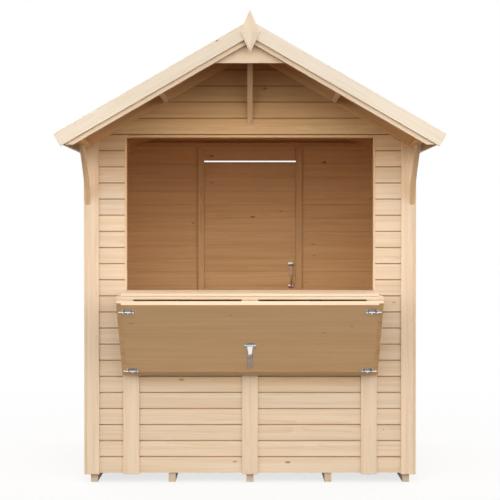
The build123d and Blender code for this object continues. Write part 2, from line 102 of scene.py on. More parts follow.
def eased(shape, arris):
    """A timber with its sharp edges eased by a few strokes of a plane."""
    points, faces = shape
    work = bmesh.new()
    made = [work.verts.new(point) for point in points]
    for face in faces:
        work.faces.new([made[index] for index in face])
    bmesh.ops.recalc_face_normals(work, faces=work.faces)
    if arris:
        sharp = [
            edge for edge in work.edges
            if len(edge.link_faces) == 2 and edge.calc_face_angle() > SHARP
        ]
        bmesh.ops.bevel(
            work, geom=sharp, offset=arris, segments=2, profile=0.5, affect="EDGES",
            clamp_overlap=True,
        )
    return work


def grain_axes(work, along):
    """Length, width and thickness directions of a timber."""
    if along is None:
        runs = []
        for edge in work.edges:
            line = edge.verts[1].co - edge.verts[0].co
            for run in runs:
                if abs(run[0].normalized().dot(line.normalized())) > 0.999:
                    run[1] += line.length
                    break
            else:
                if line.length > 0:
                    runs.append([line, line.length])
        along = max(runs, key=lambda run: run[1])[0]
    along = along.normalized()
    sides = [face for face in work.faces if abs(face.normal.dot(along)) < 0.5]
    through = max(sides or work.faces, key=lambda face: face.calc_area()).normal.copy()
    through = (through - along * through.dot(along)).normalized()
    return along, through.cross(along), through


def placed(name, data):
    """A new object in the scene."""
    thing = bpy.data.objects.new(name, data)
    bpy.context.scene.collection.objects.link(thing)
    return thing


END_ON = 0.8
# How much shade is painted into a face's colour: none, painted shade, and deep painted shade that
# also stands for dust in joints.
NO_PAINTED_SHADE, PAINTED_SHADE, DEEP_SHADE_AND_DUST = 0.0, 1.0, 2.0


def joinery(
    name, shapes, material, body, nodes=(), arris=FRAMING_ARRIS, along=None, shade_and_dust_rule=None
):
    """One piece made of timbers, each with its own cut of wood. The face rule (normal, point) says
    how much shade is painted into each face's colour: 0 is none and 1 is painted shade, and from
    there to 2 the painted shade is deeper, and stands for dust in the joints as well."""
    chance = random.Random(name)
    points, faces, grain, tone, ends, shade_and_dust_of = [], [], [], [], [], []
    for shape in shapes:
        work = eased(shape, arris)
        axes = grain_axes(work, along)
        middle = sum((vertex.co for vertex in work.verts), Vector()) / len(work.verts)
        cut = Vector((
            chance.uniform(0, 40),
            chance.uniform(-0.06, 0.06),
            chance.choice((-1, 1)) * chance.uniform(0.02, 0.1),
        ))
        board_tone = chance.random()
        first = len(points)
        work.verts.index_update()
        for vertex in work.verts:
            offset = vertex.co - middle
            points.append(vertex.co.copy())
            grain.append(Vector([offset.dot(axis) for axis in axes]) + cut)
            tone.append(board_tone)
        for face in work.faces:
            faces.append([first + vertex.index for vertex in face.verts])
            ends.append(1.0 if abs(face.normal.dot(axes[0])) > END_ON else 0.0)
            shade_and_dust_of += [shade_and_dust_rule(face.normal, vertex.co) if shade_and_dust_rule else NO_PAINTED_SHADE for vertex in face.verts]
        work.free()
    mesh = bpy.data.meshes.new(name)
    mesh.from_pydata(points, [], faces)
    for title, kind, domain, field, values in (
        ("grain", "FLOAT_VECTOR", "POINT", "vector", [part for row in grain for part in row]),
        ("tone", "FLOAT", "POINT", "value", tone),
        ("end_grain", "FLOAT", "FACE", "value", ends),
        ("shade_and_dust", "FLOAT", "CORNER", "value", shade_and_dust_of),
    ):
        mesh.attributes.new(title, kind, domain).data.foreach_set(field, values)
    mesh.materials.append(material)
    piece = placed(name, mesh)
    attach(piece, body)
    if nodes:
        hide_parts(*nodes)
    return piece


def blank_tree(owner):
    """The node tree of a material or a world, emptied."""
    owner.use_nodes = True
    owner.node_tree.nodes.clear()
    return owner.node_tree


def put(tree, kind, inputs=(), **settings):
    """A shader node with its settings, and each input given a value or joined to a socket."""
    node = tree.nodes.new("ShaderNode" + kind)
    for key, value in settings.items():
        setattr(node, key, value)
    for key, value in dict(inputs).items():
        if isinstance(value, bpy.types.NodeSocket):
            tree.links.new(value, node.inputs[key])
        else:
            node.inputs[key].default_value = value
    return node


def maths(tree, operation, first, second=0.0, third=0.0):
    values = {0: first, 1: second, 2: third}
    return put(tree, "Math", values, operation=operation).outputs[0]


def ramp(tree, value, low, high, to_low=0.0, to_high=1.0, kind="SMOOTHSTEP"):
    return put(tree, "MapRange", {
        "Value": value, "From Min": low, "From Max": high, "To Min": to_low, "To Max": to_high,
    }, interpolation_type=kind).outputs["Result"]


def stretched(tree, vector, x, y, z):
    values = {0: vector, 1: (x, y, z)}
    return put(tree, "VectorMath", values, operation="MULTIPLY").outputs[0]


def noise(tree, vector, detail=2.0, roughness=0.5):
    return put(tree, "TexNoise", {
        "Vector": vector, "Scale": 1.0, "Detail": detail, "Roughness": roughness,
    })


def mixed(tree, factor, first, second, blend="MIX"):
    values = {0: factor, 6: first, 7: second}
    return put(tree, "Mix", values, data_type="RGBA", blend_type=blend).outputs[2]


def spruce_figure():
    """Growth rings, streaks, fibres and small knots of planed spruce, with painted shade mixed
    into the colour.
    """
    group = bpy.data.node_groups.new("spruce_figure", "ShaderNodeTree")
    for title, kind, value in (
        ("Grain", "Vector", None),
        ("Tone", "Float", 0.5),
        ("End Grain", "Float", 0.0),
        ("Early Wood", "Color", (0.8, 0.6, 0.4, 1)),
        ("Late Wood", "Color", (0.6, 0.4, 0.2, 1)),
        ("Ring Strength", "Float", 0.5),
        ("Streak Strength", "Float", 0.5),
        ("Knot Strength", "Float", 0.7),
        ("Tone Spread", "Float", 0.1),
        ("Shade And Dust", "Float", 0.0),
    ):
        socket = group.interface.new_socket(title, in_out="INPUT", socket_type="NodeSocket" + kind)
        if value is not None:
            socket.default_value = value
    for title, kind in (
        ("Color", "Color"), ("Roughness", "Float"), ("Height", "Float"),
    ):
        group.interface.new_socket(title, in_out="OUTPUT", socket_type="NodeSocket" + kind)
    given = group.nodes.new("NodeGroupInput").outputs
    grain = given["Grain"]
    calc, blend, curve = (partial(helper, group) for helper in (maths, mixed, ramp))
    times, times_plus = partial(calc, "MULTIPLY"), partial(calc, "MULTIPLY_ADD")

    def waves(to_the_metre, detail, roughness=0.5):
        """Noise drawn out along the grain, with its waves counted along, across and through."""
        return noise(group, stretched(group, grain, *to_the_metre), detail, roughness).outputs

    knots_to_the_metre = (5.0, 13.0, 5.0)
    cells = put(group, "TexVoronoi", {
        "Vector": stretched(group, grain, *knots_to_the_metre), "Scale": 1.0, "Randomness": 1.0,
    })
    lot = put(group, "SeparateColor", {0: cells.outputs["Color"]}).outputs
    kept = curve(lot[0], 0.35, 0.4)
    size = times_plus(lot[1], 0.05, 0.045)
    reach = calc("DIVIDE", cells.outputs["Distance"], size)
    knot = times(curve(reach, 1.15, 0.75), kept)
    heart = times(curve(reach, 0.7, 0.15), kept)
    swell = times(curve(reach, 3.5, 0.5), kept)

    rings_to_the_metre = 240.0
    wander = put(group, "SeparateColor", {
        0: waves((1.5, 7.0, 7.0), 2.0)["Color"],
    }).outputs
    place = put(group, "SeparateXYZ", {0: grain}).outputs
    across = calc("ADD", place[1], times_plus(wander[0], 0.036, -0.018))
    through = calc("ADD", place[2], times_plus(wander[1], 0.03, -0.015))
    radius = calc("SQRT", calc("ADD", times(across, across), times(through, through)))
    radius = times_plus(swell, 0.007, radius)
    rings = calc("FRACT", times(radius, rings_to_the_metre))
    slow_rise, quick_fall = calc("POWER", rings, 3.0), curve(rings, 1.0, 0.93)
    late = times(slow_rise, quick_fall)

    streak = curve(waves((1.1, 42.0, 30.0), 4.0, 0.6)[0], 0.36, 0.68)
    broad = curve(waves((0.8, 9.0, 9.0), 2.0)[0], 0.35, 0.65)
    fibre = waves((16.0, 800.0, 800.0), 2.0)[0]
    fleck = curve(waves((26.0, 420.0, 420.0), 1.0)[0], 0.7, 0.78)

    darker = times(late, given["Ring Strength"])
    darker = times_plus(streak, given["Streak Strength"], darker)
    darker = times_plus(fibre, 0.16, darker)
    darker = times_plus(fleck, 0.12, darker)
    darker = calc("MINIMUM", darker, 1.0)
    colour = blend(darker, given["Early Wood"], given["Late Wood"])
    warm = blend(times(broad, 0.5), (1, 1, 1, 1), (1.0, 0.955, 0.9, 1))
    colour = blend(1.0, colour, warm, "MULTIPLY")
    middle_tone = times_plus(given["Tone Spread"], -0.5, 1.0)
    shade = times_plus(given["Tone"], given["Tone Spread"], middle_tone)
    grey = put(group, "CombineColor", {0: shade, 1: shade, 2: shade}).outputs[0]
    colour = blend(1.0, colour, grey, "MULTIPLY")
    knot_brown, heart_brown = (0.42, 0.215, 0.1, 1), (0.22, 0.1, 0.045, 1)
    for mask, share, stain in (
        (knot, given["Knot Strength"], knot_brown),
        (heart, given["Knot Strength"], heart_brown),
        (given["End Grain"], 0.3, given["Late Wood"]),
    ):
        colour = blend(times(mask, share), colour, stain)

    # Painted shade: from 0 to 1 the colour turns warmer and darker, and from 1 to 2 darker still,
    # which also stands for dust in the joints.
    shade_warmth, deep_shade_and_dust_tint = (1.06, 0.86, 0.58, 1), (0.50, 0.41, 0.33, 1)
    shaded_colour = blend(1.0, colour, shade_warmth, "MULTIPLY")
    colour = blend(given["Shade And Dust"], colour, shaded_colour)
    deep_shaded_and_dusty = blend(1.0, colour, deep_shade_and_dust_tint, "MULTIPLY")
    colour = blend(calc("SUBTRACT", given["Shade And Dust"], 1.0), colour, deep_shaded_and_dusty)

    rough = times_plus(fibre, 0.16, 0.5)
    rough = times_plus(given["End Grain"], 0.18, rough)
    rough = times_plus(late, -0.08, rough)
    height = times_plus(fibre, 0.5, times(late, 0.35))
    height = times_plus(knot, 0.4, height)
    out = group.nodes.new("NodeGroupOutput")
    for title, socket in (("Color", colour), ("Roughness", rough), ("Height", height)):
        group.links.new(socket, out.inputs[title])
    return group


SPRUCE = spruce_figure()


def spruce(name, early, late, ring, streak, knots, spread):
    """Bare planed spruce, from the shared figure."""
    material = bpy.data.materials.new(name)
    tree = blank_tree(material)
    figure = put(tree, "Group", node_tree=SPRUCE)
    for title, kept_as, field in (
        ("Grain", "grain", "Vector"), ("Tone", "tone", "Fac"),
        ("End Grain", "end_grain", "Fac"), ("Shade And Dust", "shade_and_dust", "Fac"),
    ):
        attribute = put(tree, "Attribute", attribute_name=kept_as)
        tree.links.new(attribute.outputs[field], figure.inputs[title])
    for title, value in (
        ("Early Wood", (*early, 1)), ("Late Wood", (*late, 1)), ("Ring Strength", ring),
        ("Streak Strength", streak), ("Knot Strength", knots), ("Tone Spread", spread),
    ):
        figure.inputs[title].default_value = value
    bump = put(tree, "Bump", {
        "Height": figure.outputs["Height"], "Strength": 0.5, "Distance": 0.0006,
    })
    shader = put(tree, "BsdfPrincipled", {
        "Base Color": figure.outputs["Color"], "Roughness": figure.outputs["Roughness"],
        "Normal": bump.outputs[0], "Specular IOR Level": 0.15,
    })
    put(tree, "OutputMaterial", {"Surface": shader.outputs[0]})
    return material


sawn_timber = spruce("sawn_timber", (0.74, 0.59, 0.44), (0.50, 0.35, 0.22), 0.42, 0.3, 0.75, 0.1)
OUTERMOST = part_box("floor_bearers")[1].x - 0.002
HALF_TURNED = 0.5
BEARER_SHADE = 1.6


def bearer_shade(normal, point):
    """Painted shade, darker and warmer, but none on the sawn ends and on the outer sides of the
    two end bearers.
    """
    outer_side = abs(point.x) > OUTERMOST and abs(normal.x) > HALF_TURNED
    return NO_PAINTED_SHADE if outer_side or abs(normal.y) > HALF_TURNED else BEARER_SHADE


joinery(
    "bearers", solids("floor_bearers"), sawn_timber, "stall", ["floor_bearers"],
    SAWN_ARRIS, None, bearer_shade,
)


# ---- Boarded walls and floor -------------------------
# Tongue-and-groove spruce, 12 mm thick and 89 mm to the course. Each board has a small bevel on
# its outer edges, so that every joint shows as a V, and every wall keeps the same courses.
COURSE = 0.089
BOARD_THICK = 0.012
FIRST_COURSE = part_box("front_wall_lower")[0].z
JOINT_GAP = 0.0016
TONGUE = 0.005
TONGUE_FROM, TONGUE_TO = 0.34, 0.66
GROOVE_SIDE, GROOVE_END = 0.0002, 0.0005
OUTER_BEVEL = 0.0026
INNER_BEVEL = 0.0008
THINNEST_STRIP = 0.004
SAME, NEARLY, CLEAR = 1e-7, 1e-6, 1e-4
SQUARE_ON = 0.9
LEFT, RIGHT = Vector((-1, 0, 0)), Vector((1, 0, 0))
FRONT, BACK, UP = Vector((0, -1, 0)), Vector((0, 1, 0)), Vector((0, 0, 1))
wall_boards = spruce(
    "wall_boards", (0.80, 0.635, 0.465), (0.61, 0.42, 0.25), 0.32, 0.36, 0.75, 0.08
)


class Wall:
    """A flat face to board over: along the boards, across the boards, and in from the face."""

    def __init__(self, origin, along, across, out):
        self.origin, self.along = Vector(origin), Vector(along)
        self.across, self.out = Vector(across), Vector(out)

    def at(self, a, c, depth):
        return self.origin + self.along * a + self.across * c - self.out * depth

    def flat(self, point):
        offset = point - self.origin
        return offset.dot(self.along), offset.dot(self.across)


def ends_at(outline, level):
    """Where a line along the boards, at one level, enters and leaves an outline."""
    hits = []
    for (a0, c0), (a1, c1) in zip(outline, outline[1:] + outline[:1]):
        if min(c0, c1) - SAME <= level <= max(c0, c1) + SAME:
            if abs(c1 - c0) < SAME:
                hits += [a0, a1]
            else:
                hits.append(a0 + (a1 - a0) * (level - c0) / (c1 - c0))
    return min(hits), max(hits)


def boards(
    wall, outline, first, course, thick,
    outer=OUTER_BEVEL, inner=INNER_BEVEL, gap=JOINT_GAP, top_lean=0.0,
):
    """The boards that fill an outline on a wall, cut to its edges, joined by tongues."""
    low = min(level for _, level in outline)
    high = max(level for _, level in outline)
    corners = sorted({round(level, 6) for _, level in outline})
    tongue_in, tongue_out = thick * TONGUE_FROM, thick * TONGUE_TO
    lowest_row = floor((low - first) / course + NEARLY)
    rows_end = ceil((high - first) / course - NEARLY)
    made = []
    for row in range(lowest_row, rows_end):
        bottom, top = first + row * course, first + (row + 1) * course
        jointed_below, jointed_above = bottom > low + NEARLY, top < high - NEARLY
        z0 = bottom + gap / 2 if jointed_below else low
        z1 = top - gap / 2 if jointed_above else high
        if z1 - z0 < THINNEST_STRIP:
            continue
        f0, f1 = (outer if jointed_below else 0), (outer if jointed_above else 0)
        b0, b1 = (inner if jointed_below else 0), (inner if jointed_above else 0)
        turns = [c for c in corners if z0 + f0 + CLEAR < c < z1 - f1 - CLEAR]
        profile = [(0, z0 + f0), *[(0, c) for c in turns], (0, z1 - f1)]
        if jointed_above:
            tip = min(z1 + TONGUE, high)
            profile += [(f1, z1), (tongue_in, z1), (tongue_in, tip)]
            profile += [(tongue_out, tip), (tongue_out, z1), (thick - b1, z1)]
        profile += [(thick, z1 - b1), *[(thick, c) for c in reversed(turns)], (thick, z0 + b0)]
        if jointed_below:
            groove_in, groove_out = tongue_in - GROOVE_SIDE, tongue_out + GROOVE_SIDE
            root = z0 + TONGUE + GROOVE_END
            profile += [(thick - b0, z0), (groove_out, z0), (groove_out, root)]
            profile += [(groove_in, root), (groove_in, z0), (f0, z0)]
        points, count = [], len(profile)
        for side in (0, 1):
            for depth, level in profile:
                end = ends_at(outline, min(max(level, low), high))[side]
                lift = depth * top_lean if level > high - NEARLY else 0
                points.append(wall.at(end, level + lift, depth))
        faces = [
            [(i + 1) % count, i, count + i, count + (i + 1) % count] for i in range(count)
        ]
        faces += [list(range(count)), list(range(2 * count - 1, count - 1, -1))]
        made.append((points, faces))
    return made


def square_to(points):
    """A line square to a flat face, twice as long as the face's area."""
    start = points[0]
    turns = ((a - start).cross(b - start) for a, b in zip(points[1:], points[2:]))
    return sum(turns, Vector())


def facing(shape, direction):
    """The largest face of a solid that looks in one direction."""
    best, most = None, 0
    for face in shape[1]:
        points = [shape[0][index] for index in face]
        normal = square_to(points)
        looks_there = normal.length > 0 and normal.normalized().dot(direction) > 0.99
        if looks_there and normal.length > most:
            best, most = points, normal.length
    return best


def largest_face(shape):
    return max(square_to([shape[0][index] for index in face]).length for face in shape[1])


def boarding(name, shapes, node, wood=wall_boards, along=RIGHT, shade_and_dust_rule=None, body="stall"):
    """A piece made of boards, in place of a CAD node."""
    joinery(name, shapes, wood, body, [node], 0, along, shade_and_dust_rule)


def clad(node, out, along, across=UP, first=FIRST_COURSE):
    """A CAD wall's skin made of boards, with the framing that stands behind it."""
    pieces = solids(node)
    skin = max(pieces, key=largest_face)
    face = facing(skin, out)
    wall = Wall(out * face[0].dot(out), along, across, out)
    outline = [wall.flat(point) for point in face]
    framing = [shape for shape in pieces if shape is not skin]
    return boards(wall, outline, first, COURSE, BOARD_THICK), framing


def shaded_all_over(normal, point):
    """Painted shade all over, warmer and darker, for wood inside the stall."""
    return PAINTED_SHADE


ROOF_SHADE_FROM, ROOF_SHADE_FULL = 1.62, 1.98
ROOF_SHADE_DEEPEST = 1.5
PROP_SHADOW_FROM, PROP_SHADOW_FULL = 0.50, 0.90
PROP_SHADOW_HALF, PROP_SHADOW_FADED = 0.655, 0.698


def roof_shade(point):
    """Painted shade from the head of the window upward, growing towards the roof and deeper still
    near the top.
    """
    return min(max((point.z - ROOF_SHADE_FROM) / (ROOF_SHADE_FULL - ROOF_SHADE_FROM), 0.0), ROOF_SHADE_DEEPEST)


def prop_shadow(point):
    """Painted shadow close under the counter, where the folded prop panel stands in front of the
    wall, growing upward.
    """
    if abs(point.x) > (PROP_SHADOW_HALF + PROP_SHADOW_FADED) / 2:
        return NO_PAINTED_SHADE
    share = (point.z - PROP_SHADOW_FROM) / (PROP_SHADOW_FULL - PROP_SHADOW_FROM)
    return DEEP_SHADE_AND_DUST * min(max(share, 0.0), 1.0)


def divided(shape, cuts, across=(1, 0, 0)):
    """The same timber with its faces divided at each place, where its colour can change."""
    work = eased(shape, 0)
    for place in cuts:
        whole = work.verts[:] + work.edges[:] + work.faces[:]
        bmesh.ops.bisect_plane(work, geom=whole, plane_co=Vector(across) * place, plane_no=across)
    work.verts.index_update()
    points = [vertex.co.copy() for vertex in work.verts]
    faces = [[vertex.index for vertex in face.verts] for face in work.faces]
    work.free()
    return points, faces


TURNED_IN = -0.05


def face_shade_and_dust(out, shade_and_dust_of=None, inside=PAINTED_SHADE):
    """No painted shade on the outer face, deep painted shade and dust in the joints, and painted
    shade inside. The function given for the outer face paints shade on part of it."""
    def shade_and_dust_rule(normal, point):
        turned_out = normal.dot(out)
        if turned_out < TURNED_IN:
            return inside
        if turned_out < SQUARE_ON:
            return DEEP_SHADE_AND_DUST
        return shade_and_dust_of(point) if shade_and_dust_of else NO_PAINTED_SHADE
    return shade_and_dust_rule


for node, out, along in (
    ("front_wall_lower", FRONT, RIGHT),
    ("front_wall_left", FRONT, RIGHT),
    ("front_wall_right", FRONT, RIGHT),
    ("front_gable", FRONT, RIGHT),
    ("back_wall_left", BACK, LEFT),
    ("back_wall_right", BACK, LEFT),
    ("back_gable", BACK, LEFT),
    ("left_wall", LEFT, FRONT),
    ("right_wall", RIGHT, BACK),
):
    skin, framing = clad(node, out, along)
    # On the front faces shade is painted in under the roof, and the lower front wall gets a
    # painted shadow behind the prop panel, cut at its ends so that it fades; the framing gets
    # painted shade all over.
    shade_and_dust_of = roof_shade if node.startswith("front") else None
    if node == "front_wall_lower":
        shade_and_dust_of = prop_shadow
        cuts = (-PROP_SHADOW_FADED, -PROP_SHADOW_HALF, PROP_SHADOW_HALF, PROP_SHADOW_FADED)
        skin = [divided(shape, cuts) for shape in skin]
    boarding(node + "_boards", skin, node, along=along, shade_and_dust_rule=face_shade_and_dust(out, shade_and_dust_of))
    if framing:
        joinery(node + "_framing", framing, sawn_timber, "stall", shade_and_dust_rule=shaded_all_over)

# The floor boards get painted shade all over.
skin, _ = clad("floor_boards", UP, RIGHT, BACK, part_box("floor_boards")[0].y)
boarding("floor", skin, "floor_boards", shade_and_dust_rule=shaded_all_over)


# ---- Corner posts, door posts and tie rail -----------
# Sawn spruce framing inside the four corners and beside the doorway, which the wall boards are
# nailed to. The tie rail joins the door posts and the rafters across the back.
def timbers(node, ending, wood, arris, shade_and_dust_rule=None, body="stall"):
    """A CAD node's own timbers with their edges eased."""
    joinery(node + ending, solids(node), wood, body, [node], arris, None, shade_and_dust_rule)


for node in ("corner_posts", "door_posts", "back_tie_rail"):
    # Painted shade all over.
    timbers(node, "_timber", sawn_timber, SAWN_ARRIS, shaded_all_over)


# ---- Corner trims ------------------------------------
# Two planed spruce boards nailed over each corner, one on the front or back and one on the side.
# The side board's edge shows as a narrow strip beside the front board.
planed_timber = spruce(
    "planed_timber", (0.82, 0.645, 0.47), (0.63, 0.43, 0.26), 0.26, 0.3, 0.5, 0.06
)
PITCH = radians(30)


def ring_faces(rings, sides):
    """The faces that join rings of points one after another, with both ends closed."""
    faces = [
        [ring * sides + i, ring * sides + (i + 1) % sides,
         (ring + 1) * sides + (i + 1) % sides, (ring + 1) * sides + i]
        for ring in range(rings - 1) for i in range(sides)
    ]
    last = (rings - 1) * sides
    return faces + [list(range(sides))[::-1], list(range(last, last + sides))]


def prism(outline, y0, y1):
    """A board with its outline in X and Z, from y0 back to y1."""
    points = [Vector((x, y, z)) for y in (y0, y1) for x, z in outline]
    return points, ring_faces(2, len(outline))


PLANED_ARRIS = 0.0013
TRIM_THICK = 0.012
TRIM_FACE = 0.070
TRIM_JOINT = (0.0002, 0.0001)
TRIM_SHADE_FROM = 1.55
TRIM_SHADE_TOP = 0.5


def trim_shade(normal, point):
    """A little painted shade, growing towards the eaves."""
    return TRIM_SHADE_TOP * max(point.z - TRIM_SHADE_FROM, 0.0) / (high.z - TRIM_SHADE_FROM)


for node in ("corner_trims_front", "corner_trims_back"):
    low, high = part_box(node)
    half = high.x
    wall_edge = half - TRIM_THICK
    inner = wall_edge - TRIM_FACE
    at_front = node.endswith("front")
    face_y = (low.y, low.y + TRIM_THICK) if at_front else (high.y - TRIM_THICK, high.y)
    shapes = []
    for side in (-1, 1):
        for x0, x1, ys in (
            (inner, wall_edge - TRIM_JOINT[0], face_y),
            (wall_edge + TRIM_JOINT[1], half, (low.y, high.y)),
        ):
            top = [high.z - (x - inner) * tan(PITCH) for x in (x0, x1)]
            shapes.append(prism([
                (side * x0, low.z), (side * x1, low.z), (side * x1, top[1]), (side * x0, top[0]),
            ], *ys))
    shade_and_dust_rule = None
    if at_front:
        shade_and_dust_rule = trim_shade
        shapes = [divided(shape, [TRIM_SHADE_FROM], (0, 0, 1)) for shape in shapes]
    joinery(
        node + "_boards", shapes, planed_timber, "stall", [node],
        PLANED_ARRIS, UP, shade_and_dust_rule,
    )


# ---- Window lining and sill --------------------------
# Thin planed spruce boards nailed round the serving window, over the cut ends of the wall
# boards, with the sill along the bottom.
FINE_ARRIS = 0.001
LINING_SHADE_TOP = 0.9
low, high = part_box("window_linings")


def lining_shade(normal, point):
    """Painted shade, growing towards the roof."""
    return LINING_SHADE_TOP * (point.z - low.z) / (high.z - low.z)


for node, shade_and_dust_rule in (("window_linings", lining_shade), ("window_sill", None)):
    timbers(node, "_boards", planed_timber, FINE_ARRIS, shade_and_dust_rule)


# ---- Wall battens and rest blocks --------------------
# Three upright battens of planed spruce, nailed to the lower wall. A sloping block on each
# carries the foot of the folded prop panel.
joinery(
    "front_battens", solids("wall_battens"), planed_timber, "stall",
    ["wall_battens"], PLANED_ARRIS,
)


# ---- Counter -----------------------------------------
# The upper half of the fold-down shutter, two layers of spruce boards nailed together. Its inner
# boards are the counter's top, and its outer boards and three cover battens are underneath, so
# two thin slots show under its front edge.
def oblong(across, up):
    """The four corners of an oblong, from its two ranges."""
    return [(across[0], up[0]), (across[1], up[0]), (across[1], up[1]), (across[0], up[1])]


# A lighter copy of the planed spruce, as painted light: on the counter top it stands for the light
# from above.
painted_light_timber = spruce("painted_light_timber", (0.90, 0.71, 0.52), (0.70, 0.49, 0.30), 0.2, 0.26, 0.3, 0.04)
SHADOW_GAP = 0.0018
COUNTER_ROWS = 4
COUNTER_BEVEL = 0.0006
COUNTER_JOINT = 0.0004
low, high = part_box("counter_top")
counter = Wall((0, 0, high.z), RIGHT, BACK, UP)
boarding("counter_top_boards", boards(
    counter, oblong((low.x, high.x), (low.y, high.y)), low.y,
    (high.y - low.y) / COUNTER_ROWS, high.z - low.z - SHADOW_GAP,
    COUNTER_BEVEL, COUNTER_BEVEL, COUNTER_JOINT,
), "counter_top", painted_light_timber)

THIN_ARRIS = 0.0006
BATTEN = 0.088
COVER = 0.005
FOLD_GAP = 0.001
low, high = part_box("counter_boards")
middles = (low.x + BATTEN / 2, 0, high.x - BATTEN / 2)
batten_faces = [(middle - BATTEN / 2, middle + BATTEN / 2) for middle in middles]
under = Wall((0, 0, low.z + COVER), RIGHT, BACK, (0, 0, -1))


def underside_shade(normal, point):
    """Deep painted shade underneath, and none on the edges."""
    return DEEP_SHADE_AND_DUST if normal.z < -SQUARE_ON else NO_PAINTED_SHADE


boarding("counter_underside", boards(
    under, oblong((low.x, high.x), (low.y, high.y)), low.y, COURSE, high.z - low.z - COVER
), "counter_boards", shade_and_dust_rule=underside_shade)
joinery(
    "counter_battens",
    [
        prism(oblong(face, (low.z, low.z + COVER)), low.y + FOLD_GAP, high.y)
        for face in batten_faces
    ],
    planed_timber, "stall", (), THIN_ARRIS, BACK,
)


# ---- Prop panel --------------------------------------
# The lower half of the shutter, nailed up from the same spruce boards and folded back to the
# wall to hold the counter up. Its smooth inner boards face the customer, set in from the outer
# boards that show as a narrow rim.
LEAN = radians(39)
REST_AT = 0.495
OUTER_THICK = 0.016
INNER_THICK = 0.014
PROP_LENGTH = 0.531
LINING_LENGTH = 0.497
PROP_ROWS, LINING_ROWS = 6, 5
LINING_BEVEL = 0.0005
LINING_JOINT = 0.0003
LINING_FACE_SHADE = 0.95
lining_face_wood = spruce(
    "lining_face_wood", (0.78, 0.60, 0.46), (0.60, 0.425, 0.29), 0.2, 0.3, 0.3, 0.04
)
fold = Vector((0, low.y, low.z))
down = Vector((0, sin(LEAN), -cos(LEAN)))
out = Vector((0, -cos(LEAN), -sin(LEAN)))


def on_prop(x, along, proud):
    """A place on the prop panel: across it, down from its fold, and out from its back."""
    return fold + Vector((x, 0, 0)) + down * along + out * proud


def prop_panel(half, length, inner_face, outer_face, toward_wall, count, *edges):
    """Boards across the prop panel, with their bevelled face toward the wall or the customer."""
    face, way = (inner_face, -out) if toward_wall else (outer_face, out)
    panel = Wall(on_prop(0, 0, face), RIGHT, down, way)
    edge = oblong((-half, half), (FOLD_GAP, length))
    course = (length - FOLD_GAP) / count
    return boards(panel, edge, FOLD_GAP, course, outer_face - inner_face, *edges)


def outer_boards_shade(normal, point):
    """Deep painted shade on the side toward the wall, painted shade on the face toward the
    customer, and none on the rim's edges.
    """
    turned_out = normal.dot(out)
    if turned_out < -SQUARE_ON:
        return DEEP_SHADE_AND_DUST
    return PAINTED_SHADE if turned_out > SQUARE_ON else NO_PAINTED_SHADE


# Painted shade on the face toward the customer, and none on the edges.
def inner_boards_shade(normal, point):
    return LINING_FACE_SHADE if normal.dot(out) > HALF_TURNED else NO_PAINTED_SHADE


half_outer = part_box("prop_boards")[1].x
half_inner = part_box("prop_lining")[1].x
lining_face = COVER + OUTER_THICK
boarding("prop_outer_boards", prop_panel(
    half_outer, PROP_LENGTH, COVER, lining_face, True, PROP_ROWS
), "prop_boards", shade_and_dust_rule=outer_boards_shade)
battens = []
for face in batten_faces:
    corners = oblong((FOLD_GAP, REST_AT), (0, COVER))
    points = [on_prop(x, along, proud) for x in face for along, proud in corners]
    battens.append((points, ring_faces(2, 4)))
joinery("prop_battens", battens, planed_timber, "stall", (), THIN_ARRIS, down)
boarding("prop_inner_boards", prop_panel(
    half_inner, LINING_LENGTH, lining_face, lining_face + INNER_THICK, False, LINING_ROWS,
    LINING_BEVEL, LINING_BEVEL, LINING_JOINT,
), "prop_lining", lining_face_wood, shade_and_dust_rule=inner_boards_shade)


# ---- Door casing -------------------------------------
# Two planed spruce boards nailed up the back wall, one each side of the doorway. The door's
# hinge plates are screwed to one of them.
timbers("door_casing", "_boards", planed_timber, PLANED_ARRIS)


# ---- Door --------------------------------------------
# A ledged door of tongue-and-groove spruce, with two stiles and three ledges nailed on outside.
# It turns on its left side, seen from inside.
skin, _ = clad("door_boards", BACK, LEFT)
# The door's inner face gets painted shade, and its joints deep painted shade and dust.
boarding("door_leaf", skin, "door_boards", shade_and_dust_rule=face_shade_and_dust(BACK), body="door")
for node in ("door_stiles", "door_ledges"):
    timbers(node, "_timber", planed_timber, PLANED_ARRIS, body="door")


# ---- Roof framing ------------------------------------
# Planed spruce rafters at the front and against both gables, with purlins and a ridge board
# fixed from front to back between them.
LOW_PURLINS = 0.7
WALL_RAFTER_ARRIS = 0.003


def purlin_shade(normal, point):
    """Painted shade on the two purlins over the walls, and none on the two between wall and ridge.
    """
    return PAINTED_SHADE if abs(point.x) > LOW_PURLINS else NO_PAINTED_SHADE


# The front rafters take the lighter copy of the spruce, as painted light; the wall rafters and
# ridge board get painted shade all over.
for node, wood, arris, shade_and_dust_rule in (
    ("front_rafters", painted_light_timber, PLANED_ARRIS, None),
    ("wall_rafters", planed_timber, WALL_RAFTER_ARRIS, shaded_all_over),
    ("purlins", planed_timber, PLANED_ARRIS, purlin_shade),
    ("ridge_board", planed_timber, PLANED_ARRIS, shaded_all_over),
):
    timbers(node, "_timber", wood, arris, shade_and_dust_rule)


